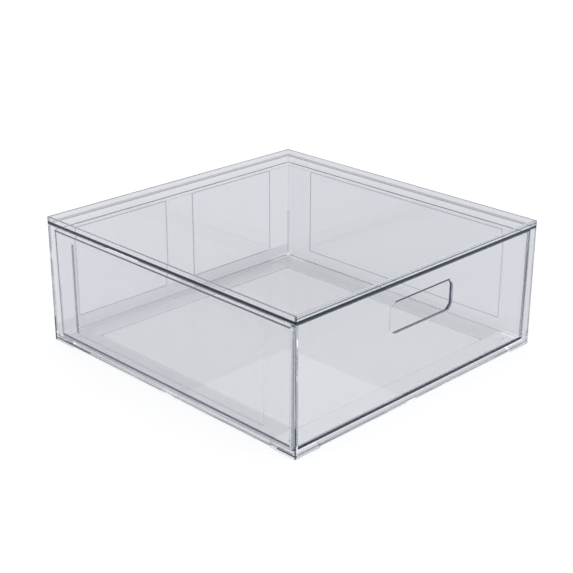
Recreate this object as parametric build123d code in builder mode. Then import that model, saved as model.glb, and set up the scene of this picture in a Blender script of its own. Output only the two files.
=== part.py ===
"""A clear plastic closet storage drawer.

A moulded case, open at the front and the top, carries a bonded top rim whose front run
is the rail over the drawer. The drawer is one moulding that slides out of the front.

Frame: +Z up, the front faces -Y, the origin is on the ground under the middle of the case.
"""

import os
from math import cos, radians, tan

from build123d import *

os.makedirs("parts", exist_ok=True)

# Case, in millimetres
case_width = 325.0
case_depth = 335.0
case_height = 128.5
case_wall = 2.8
case_corner_radius = 0.8
base_thickness = 2.5
inner_corner_radius = 1.0

# Corner feet under the base
foot_height = 1.5
foot_leg = 30.0
foot_width = 6.0

# Top rim, its bonded seam and the tongue that locates it
rim_height = 7.3
rim_edge_radius = 0.5
seam_chamfer = 0.3
bond_gap = 0.1
tongue_height = 2.8
tongue_thickness = 1.4
tongue_clearance = 0.1

# Shallow fields sunk into the outside of the walls and the base
field_depth = 0.8
field_corner_radius = 2.0
field_low_margin = 16.0
field_high_margin = 10.9
side_field_margin = 38.0
back_field_margin = 31.5
back_field_strip = 36.0
base_field_margin = 33.5

# Drawer front, which leans a little so that it leaves its mould
front_side_clearance = 0.6
front_recess = 3.8
front_top_gap = 1.4
front_thickness = 4.2
front_lean = 0.4
front_corner_radius = 3.0
front_edge_radius = 0.7

# Drawer tray behind the front
tray_side_gap = 0.9
tray_back_gap = 1.4
tray_top_drop = 4.2
tray_wall = 2.4
tray_floor = 2.5
tray_draft = 0.5
tray_corner_radius = 5.0
tray_edge_radius = 0.7
floor_radius = 2.0
running_clearance = 0.3

# Handle slot through the drawer front
slot_width = 84.0
slot_height = 29.0
slot_radius = 7.5
slot_drop = 32.5
slot_edge_radius = 0.9

# Heights and inner sizes that follow from the case
inner_width = case_width - 2 * case_wall
inner_depth = case_depth - 2 * case_wall
base_top = foot_height + base_thickness
seam_height = case_height - rim_height
wall_top = seam_height - bond_gap
field_low = foot_height + field_low_margin
field_high = seam_height - field_high_margin
field_height = field_high - field_low
field_centre = (field_high + field_low) / 2
side_field_length = case_depth - 2 * side_field_margin
back_field_length = (case_width - back_field_strip) / 2 - back_field_margin
back_field_centre = (back_field_strip + back_field_length) / 2
tongue_inset = case_wall - tongue_thickness

# Heights and faces of the drawer
drawer_bottom = base_top + running_clearance
floor_top = drawer_bottom + tray_floor
front_top = seam_height - front_top_gap
tray_top = front_top - tray_top_drop
slot_centre = front_top - slot_drop
front_width = inner_width - 2 * front_side_clearance
front_top_y = -case_depth / 2 + front_recess
front_depth = front_thickness / cos(radians(front_lean))
tray_top_width = inner_width - 2 * tray_side_gap
tray_back_y = case_depth / 2 - case_wall - tray_back_gap


def front_face_y(height):
    """Give the depth of the drawer's leaning front face at a height."""
    return front_top_y + (front_top - height) * tan(radians(front_lean))


def draft_at(height):
    """Give how far the tray's walls have drawn in at a height below their top."""
    return (tray_top - height) * tan(radians(tray_draft))


def tongue_outline(clearance):
    """Draw the outside of the tongue, grown by a clearance.

    The tongue is flush with the inside of the walls and starts behind the front rail.
    """
    front = -case_depth / 2 + case_wall + tongue_clearance - clearance
    back = case_depth / 2 - tongue_inset + clearance
    with Locations((0, (front + back) / 2)):
        Rectangle(case_width - 2 * (tongue_inset - clearance), back - front)


def tray_section(height, side_inset, front_inset):
    """Draw the tray at a height, inset from its outside and from the drawer's front face.

    The two back corners are round, and the two front corners run into the front.
    """
    inset = side_inset + draft_at(height)
    front = front_face_y(height) + front_inset
    back = tray_back_y - inset
    with Locations((0, (front + back) / 2)):
        outline = Rectangle(tray_top_width - 2 * inset, back - front)
    fillet(outline.vertices().group_by(Axis.Y)[-1], tray_corner_radius - side_inset)


# Case body: base, two sides and back in one moulding, open at the front and the top
with BuildPart() as case_body:
    with BuildSketch(Plane.XY.offset(foot_height)):
        RectangleRounded(case_width, case_depth, case_corner_radius)
    extrude(amount=wall_top - foot_height)
    chamfer(faces().sort_by(Axis.Z)[-1].edges(), seam_chamfer)
    # Tongue along the tops of the three walls, which the hollow then leaves as a strip
    with BuildSketch(Plane.XY.offset(wall_top)):
        tongue_outline(0)
    extrude(amount=tongue_height)
    with BuildSketch(Plane.XY.offset(base_top)):
        with Locations((0, -case_wall / 2)):
            hollow = Rectangle(inner_width, case_depth - case_wall)
        fillet(hollow.vertices().group_by(Axis.Y)[-1], inner_corner_radius)
    extrude(amount=wall_top + tongue_height - base_top, mode=Mode.SUBTRACT)
    # One field on each side, two on the back and one under the base
    for side in (-1, 1):
        with BuildSketch(Plane.YZ.offset(side * case_width / 2)):
            with Locations((0, field_centre)):
                RectangleRounded(side_field_length, field_height, field_corner_radius)
        extrude(amount=-side * field_depth, mode=Mode.SUBTRACT)
    with BuildSketch(Plane.XZ.offset(-case_depth / 2)):
        with Locations((-back_field_centre, field_centre), (back_field_centre, field_centre)):
            RectangleRounded(back_field_length, field_height, field_corner_radius)
    extrude(amount=field_depth, mode=Mode.SUBTRACT)
    with BuildSketch(Plane.XY.offset(foot_height)):
        RectangleRounded(
            case_width - 2 * base_field_margin,
            case_depth - 2 * base_field_margin,
            field_corner_radius,
        )
    extrude(amount=field_depth, mode=Mode.SUBTRACT)
    # An L-shaped foot in each corner
    with BuildSketch():
        RectangleRounded(case_width, case_depth, case_corner_radius)
        Rectangle(case_width - 2 * foot_width, case_depth - 2 * foot_width, mode=Mode.SUBTRACT)
        Rectangle(case_width - 2 * foot_leg, case_depth, mode=Mode.SUBTRACT)
        Rectangle(case_width, case_depth - 2 * foot_leg, mode=Mode.SUBTRACT)
    extrude(amount=foot_height)

case_body.part.label = "case_body"
export_step(case_body.part, "parts/case_body.step")


# Top rim: a ring bonded on the walls, with a lip outside the tongue and a free front rail
with BuildPart() as top_rim:
    with BuildSketch(Plane.XY.offset(seam_height)):
        RectangleRounded(case_width, case_depth, case_corner_radius)
        RectangleRounded(inner_width, inner_depth, inner_corner_radius, mode=Mode.SUBTRACT)
    extrude(amount=rim_height)
    chamfer(faces().sort_by(Axis.Z)[0].outer_wire().edges(), seam_chamfer)
    fillet(faces().sort_by(Axis.Z)[-1].edges(), rim_edge_radius)
    with BuildSketch(Plane.XY.offset(seam_height)):
        tongue_outline(tongue_clearance)
    extrude(amount=tongue_height, mode=Mode.SUBTRACT)

top_rim.part.label = "top_rim"
export_step(top_rim.part, "parts/top_rim.step")


# Drawer: a drafted tray behind a taller, wider front with a handle slot
front_plane = Plane(
    origin=(0, front_face_y(drawer_bottom), drawer_bottom),
    x_dir=(1, 0, 0),
    z_dir=(0, -1, -tan(radians(front_lean))),
)
front_length = (front_top - drawer_bottom) / cos(radians(front_lean))
slot_rise = (slot_centre - drawer_bottom) / cos(radians(front_lean))

with BuildPart() as drawer:
    for height in (drawer_bottom, tray_top):
        with BuildSketch(Plane.XY.offset(height)):
            tray_section(height, 0, front_depth / 2)
    loft(ruled=True)
    # Front, taller and wider than the tray
    with BuildSketch(front_plane):
        with Locations((0, front_length / 2)):
            RectangleRounded(front_width, front_length, front_corner_radius)
    extrude(amount=-front_thickness)
    fillet(faces().sort_by(Axis.Y)[0].outer_wire().edges(), front_edge_radius)
    # Hollow of the tray, rounded along its floor and softened along the tops of its walls
    for height in (floor_top, tray_top):
        with BuildSketch(Plane.XY.offset(height)):
            tray_section(height, tray_wall, front_depth)
    loft(ruled=True, mode=Mode.SUBTRACT)
    hollow_floor = faces().sort_by(SortBy.AREA)[-2:].sort_by(Axis.Z)[-1]
    fillet(hollow_floor.edges(), floor_radius)
    tray_rim = faces().filter_by(Axis.Z).sort_by(Axis.Z)[-1].edges()
    fillet(tray_rim - tray_rim.group_by(Axis.Y)[0], tray_edge_radius)
    # Handle slot, with the edges of its mouth softened inside and outside
    with BuildSketch(front_plane):
        with Locations((0, slot_rise)):
            RectangleRounded(slot_width, slot_height, slot_radius)
    extrude(amount=-2 * front_thickness, mode=Mode.SUBTRACT)
    fillet(edges(Select.LAST).filter_by(front_plane), slot_edge_radius)

drawer.part.label = "drawer"
export_step(drawer.part, "parts/drawer.step")
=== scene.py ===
"""Looks of a clear plastic closet storage drawer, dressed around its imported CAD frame.

The frame is in metres, +Z up, with the drawer's front towards -Y. Sizes and marks are in
millimetres, measured in that frame.
"""

import logging
import math
from abc import ABC, abstractmethod
from dataclasses import dataclass, field
from enum import Enum

import bmesh
import bpy
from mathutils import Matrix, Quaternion, Vector

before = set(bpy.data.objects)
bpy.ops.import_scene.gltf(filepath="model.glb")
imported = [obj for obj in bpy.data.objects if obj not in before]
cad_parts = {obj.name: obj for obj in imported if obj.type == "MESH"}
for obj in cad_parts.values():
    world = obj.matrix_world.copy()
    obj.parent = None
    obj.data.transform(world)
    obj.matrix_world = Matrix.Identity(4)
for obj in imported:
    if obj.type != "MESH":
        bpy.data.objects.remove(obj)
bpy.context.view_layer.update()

Colour = tuple[float, float, float]
Span = tuple[float, float]
Socket = bpy.types.NodeSocket
Shade = Colour | Socket

LOG = logging.getLogger("closet_drawer")
MM = 0.001
WHITE: Colour = (1.0, 1.0, 1.0)
# A length past every edge of the part, for ranges with an open end
WIDE = 1000.0
# Light runs far along clear plates before it leaves them
LIGHT_BOUNCES = 128


def around(middle: float, reach: float = 0.6) -> Span:
    """Give the range that a thin line covers.

    Args:
        middle: Where the line runs.
        reach: Half of the line's width.

    Returns:
        The line's two borders.
    """
    return middle - reach, middle + reach


class Piece(Enum):
    """The CAD nodes that the scene dresses."""

    CASE = "case_body"
    RIM = "top_rim"
    DRAWER = "drawer"


class Seen(Enum):
    """From which side of a face a mark shows."""

    OUTSIDE = "outside"
    INSIDE = "inside"
    BOTH = "both"


@dataclass(frozen=True)
class Mark:
    """A place on the plastic where shade or a dark line is painted into its colour.

    Attributes:
        strength: How strongly shade is painted at the place.
        x: Range of the distance from the middle plane, left and right alike.
        y: Range of the depth.
        z: Range of the height.
        corner: Range of the two distances from the upright axis, added up.
        dot: Middle and radius of a round mark.
        soft: Width of the mark's soft border.
        seen: From which side of the face the mark shows.
    """

    strength: float
    x: Span | None = None
    y: Span | None = None
    z: Span | None = None
    corner: Span | None = None
    dot: tuple[float, float, float, float] | None = None
    soft: float = 0.3
    seen: Seen = Seen.OUTSIDE


class Graph:
    """A node tree, with short ways to add the nodes that the finishes use."""

    # Sockets of the colour mix, by number because their names repeat
    MIX_INPUTS = (0, 6, 7)
    MIX_OUTPUT = 2

    def __init__(self, tree: bpy.types.NodeTree) -> None:
        """Take a tree to add nodes to.

        Args:
            tree: The tree.
        """
        self.tree = tree

    def add(self, kind: str) -> bpy.types.Node:
        """Add a node.

        Args:
            kind: Blender's name for the kind of node.

        Returns:
            The node.
        """
        return self.tree.nodes.new(kind)

    def feed(self, socket: Socket, value: float | Shade) -> None:
        """Give a socket a link, a plain number or a plain colour.

        Args:
            socket: The input.
            value: A socket to link to it, a number or a colour.
        """
        if isinstance(value, bpy.types.NodeSocket):
            self.tree.links.new(value, socket)
        elif isinstance(value, tuple):
            socket.default_value = (*value, 1.0)
        else:
            socket.default_value = value

    def math(self, operation: str, *values: float | Socket, clamp: bool = False) -> Socket:
        """Join numbers by one step of arithmetic.

        Args:
            operation: Blender's name for the step.
            values: Numbers, or sockets with one.
            clamp: Whether the result stays from 0 to 1.

        Returns:
            The result.
        """
        step = self.add("ShaderNodeMath")
        step.operation = operation
        step.use_clamp = clamp
        for socket, value in zip(step.inputs, values):
            self.feed(socket, value)
        return step.outputs["Value"]

    def filtered(self, tint: Colour, amount: Socket) -> Socket:
        """Raise a tint to a power, as a depth of tinted plastic does; here it paints shade and
        dark lines into the colour.

        Args:
            tint: Colour that an amount of 1 lets through.
            amount: The power.

        Returns:
            The colour that the amount lets through.
        """
        gamma = self.add("ShaderNodeGamma")
        self.feed(gamma.inputs["Color"], tint)
        self.feed(gamma.inputs["Gamma"], amount)
        return gamma.outputs["Color"]

    def mix(
        self, amount: float | Socket, first: Shade, second: Shade, blend: str = "MIX"
    ) -> Socket:
        """Blend two colours.

        Args:
            amount: Share of the second colour.
            first: The first colour.
            second: The second colour.
            blend: Blender's name for the blend.

        Returns:
            The blend.
        """
        mix = self.add("ShaderNodeMix")
        mix.data_type = "RGBA"
        mix.blend_type = blend
        for number, value in zip(self.MIX_INPUTS, (amount, first, second)):
            self.feed(mix.inputs[number], value)
        return mix.outputs[self.MIX_OUTPUT]

    def product(self, first: Shade, second: Shade) -> Socket:
        """Multiply two colours.

        Args:
            first: The first colour.
            second: The second colour.

        Returns:
            The product.
        """
        return self.mix(1.0, first, second, "MULTIPLY")

    def place(self, group: bpy.types.NodeTree, **values: float | Socket) -> bpy.types.Node:
        """Place a node group.

        Args:
            group: The group.
            values: What its inputs take, by name.

        Returns:
            The group's node.
        """
        node = self.add("ShaderNodeGroup")
        node.node_tree = group
        for name, value in values.items():
            self.feed(node.inputs[name], value)
        return node


@dataclass
class Effects:
    """The node groups that the finishes share.

    Attributes:
        wave_scale: Fineness of the waves in a face.
        wave_detail: How many finer waves lie on them.
        haze_scale: Fineness of the haze.
        haze_detail: How many finer layers lie on it.
        haze_start: Noise above which the haze shows.
        haze_rise: Roughness that the haze gains with the noise above that.
        span: Mask of a range of one coordinate.
        flow: Faint unevenness that the plastic keeps from its mould.
    """

    wave_scale: float = 22.0
    wave_detail: float = 1.0
    haze_scale: float = 9.0
    haze_detail: float = 2.0
    haze_start: float = 0.45
    haze_rise: float = 0.08
    span: bpy.types.NodeTree = field(init=False)
    flow: bpy.types.NodeTree = field(init=False)

    def __post_init__(self) -> None:
        """Build both groups."""
        self.span = self._span()
        self.flow = self._flow()

    @staticmethod
    def _span() -> bpy.types.NodeTree:
        """Mask a range with soft borders.

        Returns:
            A group with inputs Value, Low, High and Soft and the output Mask.
        """
        group = bpy.data.node_groups.new("span_mask", "ShaderNodeTree")
        for name in ("Value", "Low", "High", "Soft"):
            group.interface.new_socket(name, in_out="INPUT", socket_type="NodeSocketFloat")
        group.interface.new_socket("Mask", in_out="OUTPUT", socket_type="NodeSocketFloat")
        graph = Graph(group)
        taken = graph.add("NodeGroupInput").outputs
        flanks = []
        for above, below in (("Value", "Low"), ("High", "Value")):
            depth = graph.math("SUBTRACT", taken[above], taken[below])
            share = graph.math("DIVIDE", depth, taken["Soft"])
            # A soft border lies half inside the range
            flanks.append(graph.math("ADD", share, 0.5, clamp=True))
        graph.feed(graph.add("NodeGroupOutput").inputs["Mask"], graph.math("MULTIPLY", *flanks))
        return group

    def _flow(self) -> bpy.types.NodeTree:
        """Make slow waves in the face and a breath of haze.

        Returns:
            A group with the input Place and the outputs Wave and Haze.
        """
        group = bpy.data.node_groups.new("mould_flow", "ShaderNodeTree")
        group.interface.new_socket("Place", in_out="INPUT", socket_type="NodeSocketVector")
        for name in ("Wave", "Haze"):
            group.interface.new_socket(name, in_out="OUTPUT", socket_type="NodeSocketFloat")
        graph = Graph(group)
        taken = graph.add("NodeGroupInput").outputs["Place"]
        given = graph.add("NodeGroupOutput").inputs
        wave = self._noise(graph, taken, self.wave_scale, self.wave_detail)
        graph.feed(given["Wave"], wave)
        haze = self._noise(graph, taken, self.haze_scale, self.haze_detail)
        spread = graph.math("SUBTRACT", haze, self.haze_start, clamp=True)
        graph.feed(given["Haze"], graph.math("MULTIPLY", spread, self.haze_rise))
        return group

    @staticmethod
    def _noise(graph: Graph, place: Socket, scale: float, detail: float) -> Socket:
        """Add noise to a group.

        Args:
            graph: The group's nodes.
            place: Where the noise is looked up.
            scale: Its fineness.
            detail: How many finer layers lie on it.

        Returns:
            The noise.
        """
        noise = graph.add("ShaderNodeTexNoise")
        noise.inputs["Scale"].default_value = scale
        noise.inputs["Detail"].default_value = detail
        graph.feed(noise.inputs["Vector"], place)
        return noise.outputs["Fac"]


@dataclass(frozen=True)
class ClearPlastic:
    """A clear moulded plastic, with shade and dark lines painted into its colour at its far
    plates and plate edges.

    Attributes:
        name: Name of the material.
        gleam: Colour of its reflections.
        painted_shade_tint: Colour of the shade painted on far plates and other places.
        painted_line_tint: Colour of the dark lines painted along the plate edges.
        body_tint: Colour that a bare plate lets through.
        absorption: Colour that the plastic keeps over its depth.
        density: Strength of the absorption, per metre.
        ior: Index of refraction.
        wave: Strength of the waves in the face.
        wave_depth: Depth of the waves, in metres.
    """

    name: str
    gleam: Colour = (0.95, 0.97, 1.0)
    painted_shade_tint: Colour = (0.50, 0.505, 0.535)
    painted_line_tint: Colour = (0.003, 0.006, 0.014)
    body_tint: Colour = (0.966, 0.968, 0.975)
    absorption: Colour = (0.0, 0.25, 0.55)
    density: float = 0.3
    ior: float = 1.5
    wave: float = 0.04
    wave_depth: float = 0.0004

    def build(self, painted_shades: list[Mark], lines: list[Mark], effects: Effects) -> bpy.types.Material:
        """Make the material.

        Args:
            painted_shades: Where shade is painted onto the plates.
            lines: Where dark lines are painted along the plate edges.
            effects: The shared node groups.

        Returns:
            The new material.
        """
        material = bpy.data.materials.new(self.name)
        material.use_nodes = True
        graph = Graph(material.node_tree)
        graph.tree.nodes.clear()
        output = graph.add("ShaderNodeOutputMaterial")
        surface = graph.add("ShaderNodeBsdfPrincipled")
        surface.inputs["IOR"].default_value = self.ior
        surface.inputs["Transmission Weight"].default_value = 1.0
        surface.inputs["Specular Tint"].default_value = (*self.gleam, 1.0)
        graph.feed(output.inputs["Surface"], surface.outputs["BSDF"])
        depth = graph.add("ShaderNodeVolumeAbsorption")
        depth.inputs["Color"].default_value = (*self.absorption, 1.0)
        depth.inputs["Density"].default_value = self.density
        graph.feed(output.inputs["Volume"], depth.outputs["Volume"])
        spot = graph.add("ShaderNodeTexCoord").outputs["Object"]
        # Painted shade and painted dark lines, laid over the plastic's own tint
        painted_shade = graph.filtered(self.painted_shade_tint, self._cover(graph, spot, effects, painted_shades))
        line = graph.filtered(self.painted_line_tint, self._cover(graph, spot, effects, lines))
        tint = graph.product(graph.product(painted_shade, line), self.body_tint)
        graph.feed(surface.inputs["Base Color"], tint)
        flow = graph.place(effects.flow, Place=spot)
        graph.feed(surface.inputs["Roughness"], flow.outputs["Haze"])
        bump = graph.add("ShaderNodeBump")
        bump.inputs["Strength"].default_value = self.wave
        bump.inputs["Distance"].default_value = self.wave_depth
        graph.feed(bump.inputs["Height"], flow.outputs["Wave"])
        graph.feed(surface.inputs["Normal"], bump.outputs["Normal"])
        return material

    @staticmethod
    def _cover(graph: Graph, spot: Socket, effects: Effects, marks: list[Mark]) -> Socket:
        """Join the marks of painted shade into one mask, in which the strongest counts.

        Args:
            graph: The material's nodes.
            spot: Object coordinates.
            effects: The shared node groups.
            marks: The marks, of which there is at least one.

        Returns:
            The mask.
        """
        split = graph.add("ShaderNodeSeparateXYZ")
        graph.feed(split.inputs["Vector"], spot)
        across = graph.math("ABSOLUTE", split.outputs["X"])
        along = graph.math("ABSOLUTE", split.outputs["Y"])
        where = {
            "x": across,
            "y": split.outputs["Y"],
            "z": split.outputs["Z"],
            "corner": graph.math("ADD", across, along),
        }
        # The left half folded onto the right, so that a dot shows on both
        fold = graph.add("ShaderNodeCombineXYZ")
        for axis in ("x", "y", "z"):
            graph.feed(fold.inputs[axis.upper()], where[axis])
        inside = graph.add("ShaderNodeNewGeometry").outputs["Backfacing"]
        sides = {Seen.OUTSIDE: graph.math("SUBTRACT", 1.0, inside), Seen.INSIDE: inside}
        total: float | Socket = 0.0
        for mark in marks:
            mask: float | Socket = mark.strength
            if mark.seen in sides:
                mask = graph.math("MULTIPLY", sides[mark.seen], mask)
            bands = [(where[axis], getattr(mark, axis)) for axis in where if getattr(mark, axis)]
            if mark.dot:
                away = graph.add("ShaderNodeVectorMath")
                away.operation = "DISTANCE"
                graph.feed(away.inputs[0], fold.outputs["Vector"])
                away.inputs[1].default_value = [length * MM for length in mark.dot[:3]]
                bands.append((away.outputs["Value"], (-WIDE, mark.dot[3])))
            for value, (low, high) in bands:
                band = graph.place(
                    effects.span,
                    Value=value,
                    Low=low * MM,
                    High=high * MM,
                    Soft=mark.soft * MM,
                )
                mask = graph.math("MULTIPLY", band.outputs["Mask"], mask)
            total = graph.math("MAXIMUM", total, mask)
        return total


@dataclass
class ClearPiece(ABC):
    """A moulded piece of the drawer unit, dressed in clear plastic.

    Attributes:
        piece: The CAD node.
        finish: Its plastic.
        far_side_shade: Strength of the shade painted on a side wall that is seen from within.
        far_back_shade: Strength of the shade painted on the back wall that is seen from within.
    """

    piece: Piece
    finish: ClearPlastic
    far_side_shade: float = 1.02
    far_back_shade: float = 0.90

    @abstractmethod
    def painted_shades(self) -> list[Mark]:
        """List where shade is painted on the piece's plates.

        Returns:
            The tinted places.
        """

    @abstractmethod
    def lines(self) -> list[Mark]:
        """List where dark lines are painted along the piece's edges.

        Returns:
            The lines.
        """

    def dress(self, effects: Effects) -> None:
        """Put the finish on the CAD node.

        Args:
            effects: The shared node groups.
        """
        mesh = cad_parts[self.piece.value].data
        mesh.materials.clear()
        mesh.materials.append(self.finish.build(self.painted_shades(), self.lines(), effects))
        LOG.info("dressed %s with %s", self.piece.value, self.finish.name)


@dataclass
class CaseShell(ClearPiece):
    """The case: a base, two sides and a back in one moulding.

    Attributes:
        side: Plane in the middle of the side walls, under their fields.
        back: Plane in the middle of the back wall, under its fields.
        end: Plane just under the front ends of the side walls.
        lip: Inner edge of the front ends, from the middle plane.
        corner: Where the upright corners start, as two distances added up.
        corner_low: The same near the feet.
        corner_inner: The same, seen from within.
        base_mid: Plane in the middle of the base.
        base_top: Top of the base.
        base_edge: Top of the shade painted along the base's edge.
        base_shade: Where the shade painted on the base gets darkest towards the back.
        strip_end: Half width of the base's strip in front of the drawer.
        strip_back: Back edge of that strip.
        foot: Where the feet start, left and right.
        foot_run: Where the feet start, at the front and the back.
        foot_shade: Height up to which shade is painted on the sides over the feet.
        field_side: Ends of the fields in the sides.
        field_up: Bottom and top of the fields in the walls.
        field_back: Inner and outer ends of the fields in the back.
        field_base: Half width and half depth of the field under the base.
        pins: Strength, width, depth and radius of the mould's round marks in the base.
        pin_height: Height of those marks.
    """

    piece: Piece = Piece.CASE
    finish: ClearPlastic = ClearPlastic("case_clear")
    side: float = 160.8
    back: float = 165.8
    end: float = -166.8
    lip: float = 160.3
    corner: float = 329.4
    corner_low: float = 329.2
    corner_inner: float = 328.6
    base_mid: float = 3.0
    base_top: float = 4.0
    base_edge: float = 4.2
    base_shade: float = 151.0
    strip_end: float = 159.5
    strip_back: float = -163.4
    foot: float = 132.5
    foot_run: float = 137.5
    foot_shade: float = 7.0
    field_side: Span = (-129.5, 129.5)
    field_up: Span = (17.5, 110.3)
    field_back: Span = (18.0, 131.0)
    field_base: Span = (129.0, 134.0)
    pins: tuple[tuple[float, float, float, float], ...] = (
        (2.5, 128.5, 133.0, 1.7),
        (2.2, 145.5, 147.0, 1.5),
    )
    pin_height: float = 2.0

    def painted_shades(self) -> list[Mark]:
        """List the shade painted on the far walls, the base and its edge, the feet and the near
        side.

        Returns:
            The tinted places.
        """
        sides = (self.side, WIDE)
        behind = (self.back, WIDE)
        ahead = (-WIDE, self.end)
        below = (-WIDE, self.base_mid)
        between = (-WIDE, self.side)
        shade = (-WIDE, self.foot_shade)
        strip = (-WIDE, self.strip_back)
        strip_up = around(self.base_top, 0.4)
        tall = self.field_up
        wide, deep = self.field_base
        border = (-deep - 1.5, -deep + 1.0)
        return [
            # Painted shade on the far walls, seen from within, darkest low on the back
            Mark(self.far_side_shade, x=sides, seen=Seen.INSIDE),
            Mark(self.far_back_shade, y=behind, seen=Seen.INSIDE),
            Mark(1.35, y=behind, z=(-WIDE, tall[0]), seen=Seen.INSIDE),
            # Painted shade on the base, darker round its field and most at the back
            Mark(0.08, x=between, z=below, seen=Seen.INSIDE),
            Mark(0.70, x=(wide, self.side), y=(-deep, WIDE), z=below, soft=2.0, seen=Seen.INSIDE),
            Mark(0.14, x=between, y=(-WIDE, -deep), z=below, seen=Seen.INSIDE),
            Mark(0.34, x=(-WIDE, wide), y=border, z=below, soft=2.0, seen=Seen.INSIDE),
            Mark(0.50, x=between, y=(deep, WIDE), z=below, seen=Seen.INSIDE),
            Mark(1.45, x=between, y=(self.base_shade, WIDE), z=below, soft=8.0, seen=Seen.INSIDE),
            # Painted shade on the low edge of the sides, over the feet and on the low edge of the
            # back
            Mark(0.60, x=sides, z=(-WIDE, self.base_edge), soft=0.8),
            Mark(2.20, x=sides, y=(self.foot_run, WIDE), z=shade, soft=2.0),
            Mark(1.60, x=sides, y=(-WIDE, -self.foot_run), z=shade, soft=2.0),
            Mark(2.00, x=(self.foot, WIDE), y=ahead, z=(-WIDE, 6.0), soft=1.0),
            Mark(2.00, x=(159.0, WIDE), y=ahead, z=(-WIDE, 14.0), soft=4.0),
            Mark(1.00, y=behind, z=(-WIDE, self.base_top)),
            # Painted shade on the strip of the base in front of the drawer, darker over the feet
            Mark(0.50, x=(-WIDE, self.strip_end), y=strip, z=strip_up),
            Mark(1.60, x=(self.foot, self.strip_end), y=strip, z=strip_up),
            # Painted shade on the back corners, and painted dark lines at the edges of the fields
            # in the near side
            Mark(1.30, x=sides, y=(165.6, WIDE)),
            Mark(1.90, x=sides, y=(127.8, 130.6), z=tall, soft=0.6),
            Mark(0.40, x=sides, y=(-130.2, -129.0), z=tall, soft=0.6),
            Mark(0.50, x=sides, y=self.field_side, z=(16.7, 18.2), soft=0.6),
            # Marks of the mould
            *[
                Mark(strength, dot=(x, end * y, self.pin_height, radius), seen=Seen.INSIDE)
                for strength, x, y, radius in self.pins
                for end in (-1, 1)
            ],
        ]

    def lines(self) -> list[Mark]:
        """List the dark lines painted along the case's edges.

        Returns:
            The lines.
        """
        sides = (self.side, WIDE)
        behind = (self.back, WIDE)
        ahead = (-WIDE, self.end)
        below = (-WIDE, self.base_mid)
        corner = (self.corner, WIDE)
        tall = self.field_up
        low, high = around(tall[0]), around(tall[1])
        wide, deep = self.field_base
        return [
            # Painted dark lines on the upright corners, darkest near the feet
            Mark(0.27, y=(0.0, WIDE), corner=corner),
            Mark(0.14, y=(-WIDE, 0.0), corner=corner),
            Mark(0.06, corner=(self.corner_inner, WIDE), seen=Seen.INSIDE),
            Mark(0.90, corner=(self.corner_low, WIDE), z=(-WIDE, 29.0), soft=0.8),
            Mark(0.90, x=sides, y=(164.6, WIDE), z=(-WIDE, 24.6), soft=0.4),
            # Painted shade on the front ends of the side walls, and a painted dark line on the
            # front edge of the base
            Mark(0.03, y=ahead),
            Mark(0.12, x=(-WIDE, self.lip), y=ahead, z=(self.base_mid, self.base_edge)),
            Mark(0.35, x=(161.5, WIDE), y=ahead, z=(-WIDE, 25.0)),
            # Painted dark lines at the edges of the fields in the far side, the back and the base
            *[
                Mark(0.16, x=sides, y=around(end), z=tall, seen=Seen.INSIDE)
                for end in self.field_side
            ],
            Mark(0.14, x=sides, y=self.field_side, z=low, seen=Seen.INSIDE),
            Mark(0.10, x=sides, y=self.field_side, z=high, seen=Seen.INSIDE),
            *[
                Mark(0.20, x=around(end), y=behind, z=tall, seen=Seen.INSIDE)
                for end in self.field_back
            ],
            Mark(0.18, x=self.field_back, y=behind, z=low, seen=Seen.INSIDE),
            Mark(0.10, x=self.field_back, y=behind, z=high, seen=Seen.INSIDE),
            Mark(0.10, x=(-WIDE, wide), y=around(deep), z=below, seen=Seen.INSIDE),
            # Painted dark lines on the tops of the feet
            Mark(0.90, x=sides, y=(110.0, 164.0), z=(2.3, 3.5)),
            Mark(1.30, x=sides, y=(-WIDE, -146.0), z=(2.0, 3.4)),
        ]


@dataclass
class BondedRim(ClearPiece):
    """The rim: a ring bonded on the walls, whose front run is the rail over the drawer.

    Attributes:
        side: Plane just under the sides' outer faces.
        back: Plane just under the back's outer face, and under the rail's with its sign turned.
        corner: Where the outer corners start, as two distances added up.
        seam: Bottom and top of the dark band painted as shade at the seam, on the sides and the
            back.
        rail_seam: Bottom and top of the dark band painted as shade on the rail.
        rail_edge: Bottom and top of the dark line painted under the rail's top edge.
        top: Plane under the round top edges.
        flat_top: Plane just under the flat of the top.
    """

    piece: Piece = Piece.RIM
    finish: ClearPlastic = ClearPlastic("rim_clear", gleam=(0.3, 0.34, 0.4))
    side: float = 161.6
    back: float = 166.6
    corner: float = 329.0
    seam: Span = (121.7, 124.2)
    rail_seam: Span = (121.0, 124.0)
    rail_edge: Span = (125.9, 127.0)
    top: float = 127.8
    flat_top: float = 128.2

    def painted_shades(self) -> list[Mark]:
        """List the shade painted on the far runs.

        Returns:
            The tinted places.
        """
        return [
            # Painted shade on the far runs, seen from within
            Mark(self.far_side_shade, x=(self.side, WIDE), seen=Seen.INSIDE),
            Mark(self.far_back_shade, y=(self.back, WIDE), seen=Seen.INSIDE),
        ]

    def lines(self) -> list[Mark]:
        """List the dark lines and shade painted at the seam, the corners and the top edge.

        Returns:
            The lines.
        """
        sides = (self.side, WIDE)
        behind = (self.back, WIDE)
        ahead = (-WIDE, -self.back)
        flat = (self.flat_top, WIDE)
        return [
            # Painted shade: a dark band over the bonded seam
            Mark(1.4, x=sides, z=self.seam, soft=0.6),
            Mark(1.0, y=behind, z=self.seam, soft=0.6),
            Mark(1.0, y=ahead, z=self.rail_seam, soft=0.6),
            # Painted dark lines on the outer corners, the top's outer edges and the rail, and
            # painted shade on the top edges
            Mark(0.65, corner=(self.corner, WIDE)),
            Mark(0.60, x=around(self.side, 0.5), z=flat),
            Mark(0.90, y=around(self.back, 0.5), z=flat),
            Mark(0.30, y=behind, z=(self.top, WIDE), seen=Seen.BOTH),
            Mark(0.12, y=(-WIDE, -164.5), z=flat),
            Mark(0.45, y=ahead, z=self.rail_edge),
        ]


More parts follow.
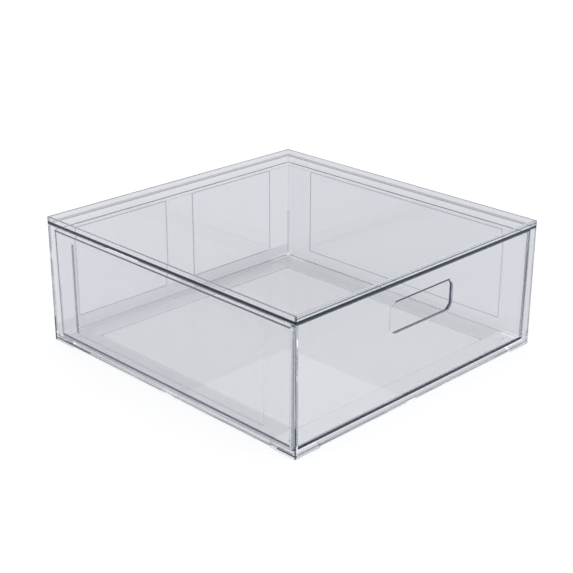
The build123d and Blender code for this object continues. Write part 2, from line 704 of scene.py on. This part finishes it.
@dataclass
class PullDrawer(ClearPiece):
    """The drawer: a drafted tray behind a taller, wider front with a handle slot.

    Attributes:
        side: Plane in the middle of the tray's side walls.
        back: Plane in the middle of the tray's back wall.
        front: Plane in the middle of the front.
        inner: Plane just behind the front's inner face.
        front_top: Where the dark line painted along the front's top edge starts.
        front_up: Bottom and top of the dark lines painted along the front's upright edges.
        floor_mid: Plane in the middle of the floor.
        floor_edge: Bottom and top of the dark line painted along the floor's edge, on the front.
        tray_edge: Bottom and top of the dark line painted along the floor's edge, on the tray's
            sides.
        tray_low: Where the dark lines painted up the tray's back corners start.
        tray_top: Where the tops of the tray's walls start.
        slot: Half width, bottom and top of the handle slot with its round mouth.
        slot_wall: Front and back of the slot's walls, which are painted dark as shade.
    """

    piece: Piece = Piece.DRAWER
    finish: ClearPlastic = ClearPlastic("drawer_clear", body_tint=(0.963, 0.966, 0.982))
    far_side_shade: float = 0.05
    far_back_shade: float = 0.05
    side: float = 157.1
    back: float = 161.6
    front: float = -161.3
    inner: float = -158.6
    front_top: float = 118.2
    front_up: Span = (8.0, 118.0)
    floor_mid: float = 5.5
    floor_edge: Span = (4.8, 7.5)
    tray_edge: Span = (7.0, 8.7)
    tray_low: float = 9.0
    tray_top: float = 115.0
    slot: tuple[float, float, float] = (43.5, 71.0, 103.0)
    slot_wall: Span = (-162.4, -160.2)

    def painted_shades(self) -> list[Mark]:
        """List the shade painted on the far plates and the floor.

        Returns:
            The tinted places.
        """
        return [
            # Painted shade on the far plates, on the front seen from within and on the floor
            Mark(self.far_side_shade, x=(self.side, WIDE), seen=Seen.INSIDE),
            Mark(self.far_back_shade, y=(self.back, WIDE), seen=Seen.INSIDE),
            Mark(0.60, y=(-WIDE, self.front), seen=Seen.INSIDE),
            Mark(0.12, x=(-WIDE, self.side), z=(-WIDE, self.floor_mid), seen=Seen.INSIDE),
        ]

    def lines(self) -> list[Mark]:
        """List the dark lines painted along the drawer's edges.

        Returns:
            The lines.
        """
        sides = (self.side, WIDE)
        face = (-WIDE, self.front)
        behind = (self.inner, WIDE)
        upright = self.front_up
        top = (self.tray_top, WIDE)
        half, low, high = self.slot
        mouth = self.slot_wall[0]
        return [
            # Painted dark lines on the top and upright edges of the front
            Mark(1.0, y=(-WIDE, -159.0), z=(self.front_top, WIDE), soft=0.8),
            Mark(0.20, x=(158.4, WIDE), y=(-WIDE, -162.6), z=upright),
            Mark(1.20, x=(158.5, WIDE), y=(-160.2, -158.0), z=upright, seen=Seen.INSIDE),
            # Painted dark lines along the edge of the floor
            Mark(0.95, y=face, z=self.floor_edge, soft=0.6),
            Mark(1.5, x=sides, y=behind, z=self.tray_edge, soft=0.4),
            # Painted shade on the walls of the handle slot, and a painted dark line on its upper
            # edge
            Mark(0.80, x=(-WIDE, half), y=self.slot_wall, z=(low, high)),
            Mark(1.60, x=(-WIDE, 37.0), y=(-WIDE, mouth), z=(101.0, 103.6)),
            # Painted dark lines on the tops of the tray's walls, outside and inside
            Mark(0.90, x=(157.2, WIDE), y=behind, z=top, soft=0.4),
            Mark(0.65, y=(161.7, WIDE), z=top, soft=0.4),
            Mark(0.05, x=(-WIDE, self.side), y=behind, z=(111.6, 112.6), soft=0.8),
            # Painted dark lines up the round back corners
            Mark(1.00, x=(157.0, WIDE), y=(157.2, 158.4), z=(self.tray_low, self.tray_top)),
            Mark(0.05, y=(150.0, WIDE), z=(self.tray_low, 60.0), corner=(313.4, 316.0)),
        ]


@dataclass
class Studio:
    """The pale floor, the soft light and the camera of the photograph.

    Attributes:
        floor_radius: Radius of the floor, in metres.
        floor_sides: Number of sides of its round edge.
        floor_grey: The floor's own colour.
        floor_white: Strength of the floor's white where it is seen.
        horizon: Colour of the world near the horizon.
        zenith: Colour of the world overhead.
        fade: Heights between which one goes over into the other.
        aim: The point that the camera looks at.
        azimuth: Direction of the view, in degrees.
        elevation: Height of the view, in degrees.
        distance: Distance from the aim, in metres.
        lens: Focal length.
        roll: Turn about the view, in degrees.
        sensor: Width of the sensor.
    """

    floor_radius: float = 6.0
    floor_sides: int = 64
    floor_grey: float = 0.5
    floor_white: float = 0.80
    horizon: Colour = (0.85, 0.86, 0.88)
    zenith: Colour = (0.40, 0.41, 0.43)
    fade: Span = (0.2, 0.7)
    aim: tuple[float, float, float] = (-3.100, 3.208, 58.312)
    azimuth: float = 44.8757
    elevation: float = 22.4425
    distance: float = 1.25976
    lens: float = 81.42
    roll: float = 0.1264
    sensor: float = 36.0

    def build(self) -> None:
        """Make the floor, the world and the camera."""
        self._floor()
        self._world()
        self._camera()

    def _floor(self) -> None:
        """Lay a pale floor, white where it is seen, that keeps the object's shadow."""
        mesh = bpy.data.meshes.new("floor")
        shape = bmesh.new()
        bmesh.ops.create_circle(
            shape, cap_ends=True, segments=self.floor_sides, radius=self.floor_radius
        )
        shape.to_mesh(mesh)
        shape.free()
        floor = bpy.data.objects.new("floor", mesh)
        bpy.context.scene.collection.objects.link(floor)
        material = bpy.data.materials.new("floor_white")
        material.use_nodes = True
        graph = Graph(material.node_tree)
        surface = graph.tree.nodes["Principled BSDF"]
        surface.inputs["Base Color"].default_value = (*[self.floor_grey] * 3, 1.0)
        surface.inputs["Roughness"].default_value = 1.0
        surface.inputs["Emission Color"].default_value = (*WHITE, 1.0)
        path = graph.add("ShaderNodeLightPath").outputs
        seen = graph.math("MAXIMUM", path["Is Camera Ray"], path["Is Glossy Ray"])
        seen = graph.math("MAXIMUM", seen, path["Is Transmission Ray"])
        glow = graph.math("MULTIPLY", seen, self.floor_white)
        graph.feed(surface.inputs["Emission Strength"], glow)
        mesh.materials.append(material)

    def _world(self) -> None:
        """Give the world a bright horizon and a darker top, and plain white to look at."""
        world = bpy.data.worlds.new("studio")
        bpy.context.scene.world = world
        world.use_nodes = True
        graph = Graph(world.node_tree)
        split = graph.add("ShaderNodeSeparateXYZ")
        graph.feed(split.inputs["Vector"], graph.add("ShaderNodeTexCoord").outputs["Generated"])
        ramp = graph.add("ShaderNodeValToRGB")
        graph.feed(ramp.inputs["Fac"], split.outputs["Z"])
        colours = (self.horizon, self.zenith)
        for stop, height, colour in zip(ramp.color_ramp.elements, self.fade, colours):
            stop.position = height
            stop.color = (*colour, 1.0)
        looked_at = graph.add("ShaderNodeLightPath").outputs["Is Camera Ray"]
        sky = graph.tree.nodes["Background"]
        graph.feed(sky.inputs["Color"], graph.mix(looked_at, ramp.outputs["Color"], WHITE))

    def _camera(self) -> None:
        """Set up the photograph's camera."""
        data = bpy.data.cameras.new("camera")
        data.lens = self.lens
        data.sensor_width = self.sensor
        camera = bpy.data.objects.new("camera", data)
        bpy.context.scene.collection.objects.link(camera)
        azimuth = math.radians(self.azimuth)
        elevation = math.radians(self.elevation)
        forward = Vector((
            math.sin(azimuth) * math.cos(elevation),
            math.cos(azimuth) * math.cos(elevation),
            -math.sin(elevation),
        ))
        camera.location = Vector(self.aim) * MM - forward * self.distance
        level = forward.to_track_quat("-Z", "Y")
        turn = Quaternion((0.0, 0.0, 1.0), math.radians(self.roll))
        camera.rotation_euler = (level @ turn).to_euler()
        bpy.context.scene.camera = camera


def main() -> None:
    """Dress the pieces and set up the studio."""
    logging.basicConfig(level=logging.INFO)
    scene = bpy.context.scene
    scene.view_settings.view_transform = "Standard"
    scene.cycles.max_bounces = LIGHT_BOUNCES
    scene.cycles.glossy_bounces = LIGHT_BOUNCES
    scene.cycles.transmission_bounces = LIGHT_BOUNCES
    effects = Effects()
    for piece in (CaseShell(), BondedRim(), PullDrawer()):
        piece.dress(effects)
    Studio().build()


if __name__ == "__main__":
    main()
